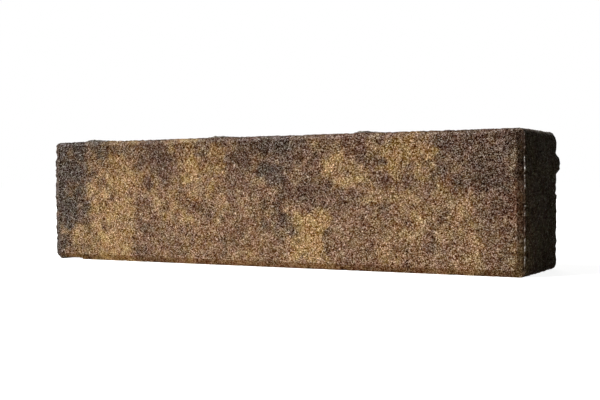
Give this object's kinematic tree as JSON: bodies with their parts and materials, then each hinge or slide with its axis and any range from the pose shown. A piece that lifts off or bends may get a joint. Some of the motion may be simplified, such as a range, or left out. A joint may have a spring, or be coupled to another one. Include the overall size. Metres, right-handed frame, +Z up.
{
  "type": "concrete paver",
  "caption": "Long, narrow concrete paving block with a bevelled, colour-blended wearing face and spacer nibs on one long side and one end.",
  "frame": {"origin": "centre of the plain long side that the block stands on, at floor level", "axes": "+X along the block's length, towards the end with the nib; +Y through its thickness, from the wearing face to the bed face; +Z up across its width, towards the side with the nibs"},
  "size_m": [0.318, 0.06, 0.078],
  "materials": {
    "concrete": "rough pressed concrete, blended ochre, brown and dark grey grains"
  },
  "bodies": {
    "root": {"paver": "concrete"}
  },
  "joints": []
}
